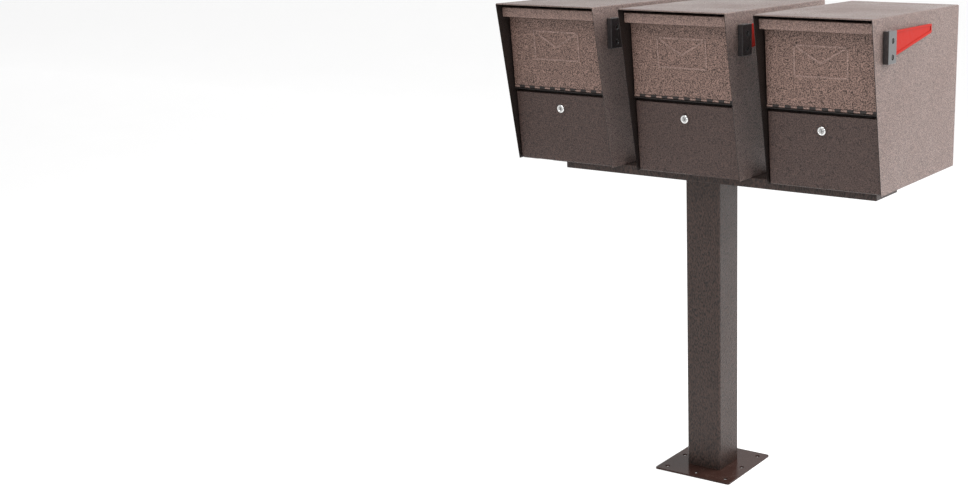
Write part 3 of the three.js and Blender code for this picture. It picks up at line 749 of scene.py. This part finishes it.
def flag_bracket(side, place):
    """Block slotted from behind and above for the flag, with two counterbored screw holes."""
    outer, back = BRACKET_X + BRACKET_THICKNESS, BRACKET_FRONT + BRACKET_DEPTH
    top = BRACKET_BOTTOM + BRACKET_HEIGHT
    corners = [(BRACKET_FRONT, BRACKET_BOTTOM), (back, BRACKET_BOTTOM), (back, top), (BRACKET_FRONT, top)]
    bm = bmesh.new()
    prism(bm, corners, (BRACKET_X, outer), "yzx")
    piece = finished(f"{side}_flag_bracket_shape", bm, place, BLACK, 0)
    slot = bmesh.new()
    ys = (BRACKET_FRONT + BRACKET_WALL, back + 5)
    zs = (BRACKET_BOTTOM + BRACKET_WALL, top + 5)
    brick(slot, (SLOT_X, SLOT_X + FLAG_SLOT), ys, zs)
    cutters = [finished("slot_cut", slot, place, BLACK, 0)]
    for screw in (FLAG_PIVOT, MOUNT_SCREW):
        through, seat = (BRACKET_X - 1, outer + 1), (HEAD_SEAT, outer + 1)
        cutters.append(rod("hole_cut", place, screw, SCREW_HOLE, through, "yzx", BLACK))
        cutters.append(rod("seat_cut", place, screw, COUNTERBORE, seat, "yzx", BLACK))
    carved(piece, cutters)
    soften(piece, 0.9, 4)
    show_as(piece, f"{side}_flag_bracket", STAND)
    ring = bmesh.new()
    tube(ring, MOUNT_SCREW, BOSS_RADIUS, SCREW_HOLE, (SLOT_X - 0.2, SLOT_X + FLAG_SLOT + 0.2))
    boss = finished(f"{side}_bracket_boss", ring, place, BLACK, 0.15)
    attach(boss, STAND)


def flag_outline():
    """The flag lying straight back: a round lug on the pivot, and an arm that narrows to its tip."""
    y, z = FLAG_PIVOT
    points = [(y + 25, z + 21)]
    turned(points, (y + FLAG_REACH - 4, z + 17), 4, 90, 0, 6)
    turned(points, (y + FLAG_REACH - 4, z + 3), 4, 0, -78, 6)
    points += [(y + 36, z - 36), (y + 14, z - 36)]
    turned(points, FLAG_PIVOT, 13, 0, -270, 30)
    points.append((y + 25, z + 13))
    return points


def flag_panel():
    """The recessed panel's outline, a rim's width inside the flag's edge."""
    y, z = FLAG_PIVOT
    tip = FLAG_REACH - 5
    corners = [(29, 16), (tip, 16), (tip, 5), (35.5, -31), (19, -31), (17.5, 8.5), (29, 8.5)]
    return [(y + dy, z + dz) for dy, dz in corners]


def flag(side, place):
    """Moulded flag with a raised, bevelled rim round a recessed panel on both faces."""
    middle = SLOT_X + FLAG_SLOT / 2
    half = FLAG_THICKNESS / 2
    bm = bmesh.new()
    prism(bm, flag_outline(), (middle - half, middle + half), "yzx")
    piece = finished(f"{side}_flag_shape", bm, place, RED, 0)
    cutters = [rod("pivot_cut", place, FLAG_PIVOT, SCREW_HOLE, (middle - 5, middle + 5), "yzx", RED)]
    web = half - RECESS_DEPTH
    for span in ((middle - half - 1, middle - web), (middle + web, middle + half + 1)):
        recess = bmesh.new()
        prism(recess, flag_panel(), span, "yzx")
        cutters.append(finished("panel_cut", recess, place, RED, 0))
    carved(piece, cutters)
    soften(piece, 0.8, 3)
    return show_as(piece, f"{side}_flag", f"{side}_flag_arm")


def screw(side, node, centre, place):
    """Pan-head screw with a cross recess. Its axis runs out through the bracket."""
    seat, top = HEAD_SEAT + 0.3, HEAD_SEAT + 2.6
    start = HALF_WIDTH - 6
    profile = [
        (0, start), (1.9, start), (2.5, start + 0.8), (2.5, seat), (4.1, seat), (4.3, seat + 0.25),
        (4.3, seat + 0.8), (3.9, top - 0.45), (2.8, top - 0.12), (0, top),
    ]
    bm = bmesh.new()
    revolved(bm, profile, 36)
    here = Matrix.Translation((0, centre[0] * MM, centre[1] * MM))
    along_x = place @ here @ Matrix.Rotation(math.pi / 2, 4, "Y")
    piece = finished(f"{side}_{node}_shape", bm, along_x, SHADED_SCREW_CHROME, 0)
    cutters = []
    for reach_x, reach_y in ((2.6, 0.5), (0.5, 2.6)):
        cross = bmesh.new()
        brick(cross, (-reach_x, reach_x), (-reach_y, reach_y), (top - 1.5, top + 1))
        cutters.append(finished("cross_cut", cross, along_x, HOLLOW, 0))
    carved(piece, cutters)
    soften(piece, 0.12)
    return show_as(piece, f"{side}_{node}", STAND)


# ---------------------------------------------------------------- stand

def rounded_square(size, radius, steps=6):
    reach = size / 2 - radius
    points = []
    for quarter in range(4):
        middle = math.radians(90 * quarter + 45)
        centre = (reach * math.copysign(1, math.cos(middle)), reach * math.copysign(1, math.sin(middle)))
        turned(points, centre, radius, 90 * quarter, 90 * quarter + 90, steps)
    return points


def base_plate():
    """Square plate with an anchor hole at each corner and mid-side."""
    low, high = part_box("base_plate")
    size, thick = (high.x - low.x) / MM, (high.z - low.z) / MM
    bm = bmesh.new()
    prism(bm, rounded_square(size, PLATE_CORNER), (0, thick), "xyz")
    here = Matrix.Identity(4)
    piece = finished("base_plate_shape", bm, here, ENAMEL, 0)
    cutters = []
    for row in (-1, 0, 1):
        for column in (-1, 0, 1):
            if row or column:
                centre = (column * ANCHOR_OFFSET, row * ANCHOR_OFFSET)
                cutters.append(rod("hole_cut", here, centre, ANCHOR_RADIUS, (-2, thick + 2), "xyz", ENAMEL))
    carved(piece, cutters)
    soften(piece, 0.9, 3)
    return show_as(piece, "base_plate", STAND)


def post():
    """Square tube with rounded corners."""
    low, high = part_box("post")
    bottom, top = low.z / MM, high.z / MM
    outside = (POST_SIZE, POST_CORNER)
    inside = (POST_SIZE - 2 * POST_WALL, POST_CORNER - POST_WALL)
    bm = bmesh.new()
    loops = []
    for square, z in ((outside, bottom), (outside, top), (inside, top), (inside, bottom)):
        loops.append([bm.verts.new((*p, z)) for p in rounded_square(*square, 8)])
    faces = []
    for a, b in zip(loops, loops[1:] + loops[:1]):
        for i in range(len(a)):
            j = (i + 1) % len(a)
            faces.append(bm.faces.new((a[i], a[j], b[j], b[i])))
    bmesh.ops.recalc_face_normals(bm, faces=faces)
    piece = finished("post_shape", bm, Matrix.Identity(4), SHADED_POST_COAT, 0.5)
    return show_as(piece, "post", STAND)


# ---------------------------------------------------------------- object

def mailbox(side):
    front, box = front_place(side), shell_place(side)
    shell(side, box)
    floor_pan(side, box, front)
    hinge_rail(side, front)
    hinge_pin(side, "upper_hinge_pin", UPPER_HINGE, front)
    hinge_pin(side, "lower_hinge_pin", LOWER_HINGE, front)
    incoming_door(side, front)
    access_door(side, front)
    lock_parts(side, front)
    flag_bracket(side, box)
    flag(side, box)
    screw(side, "flag_pivot_screw", FLAG_PIVOT, box)
    screw(side, "flag_mount_screw", MOUNT_SCREW, box)


for each_side in SIDES:
    mailbox(each_side)

base_plate()
post()
refined("post_cap_plate", STAND, SHADED_POST_COAT, 0.6)
refined("spreader", STAND, SHADED_POST_COAT, 1.6, 4)


# ---------------------------------------------------------------- studio

def floor():
    """A pale floor that sweeps up into a backdrop."""
    bm = bmesh.new()
    profile = [(-9.0, 0.0), (5.0, 0.0)]
    turned(profile, (5.0, 2.5), 2.5, -90, 0, 12)
    profile.append((7.5, 9.0))
    rows = [[bm.verts.new((x, y, z)) for y, z in profile] for x in (-14.0, 14.0)]
    for i in range(len(profile) - 1):
        bm.faces.new((rows[0][i], rows[1][i], rows[1][i + 1], rows[0][i + 1]))
    mesh = bpy.data.meshes.new("studio_floor")
    bm.to_mesh(mesh)
    bm.free()
    mesh.shade_smooth()
    mesh.materials.append(floor_paint())
    sweep = bpy.data.objects.new("studio_floor", mesh)
    bpy.context.scene.collection.objects.link(sweep)


def area_light(name, place, target, size, power, glints=True):
    light = bpy.data.lights.new(name, "AREA")
    light.shape = "RECTANGLE"
    light.size, light.size_y = size
    light.energy = power
    lamp = bpy.data.objects.new(name, light)
    lamp.location = place
    lamp.visible_glossy = glints
    lamp.rotation_euler = (Vector(target) - Vector(place)).to_track_quat("-Z", "Y").to_euler()
    bpy.context.scene.collection.objects.link(lamp)


def world():
    """Even white surroundings, for soft shadows and reflections."""
    sky = bpy.data.worlds.new("studio")
    bpy.context.scene.world = sky
    sky.use_nodes = True
    sky.node_tree.nodes["Background"].inputs["Color"].default_value = (1, 1, 1, 1)
    sky.node_tree.nodes["Background"].inputs["Strength"].default_value = 0.6


def camera():
    """Looks at the fronts and right sides, and is shifted so that the unit stands at the right."""
    lens = bpy.data.cameras.new("camera")
    lens.sensor_width = 36
    lens.lens = 52.5
    lens.shift_x = -0.256
    lens.clip_end = 60
    eye = bpy.data.objects.new("camera", lens)
    place, target = Vector((1.828, -3.132, 1.494)), Vector((0.0594, 0.0, 0.620))
    eye.location = place
    eye.rotation_euler = (target - place).to_track_quat("-Z", "Y").to_euler()
    bpy.context.scene.collection.objects.link(eye)
    bpy.context.scene.camera = eye


floor()
area_light("key_right", (2.3, 1.5, 2.6), (0.4, 0, 1), (2.6, 2.6), 235, glints=False)
area_light("top_front", (0.2, -1.8, 3.2), (0, 0, 1), (1.8, 1.2), 52)
area_light("gap_fill", (1.9, -3.4, 2.0), (0.2, 0, 1.1), (0.6, 0.6), 24)
world()
camera()
bpy.context.scene.view_settings.view_transform = "Standard"
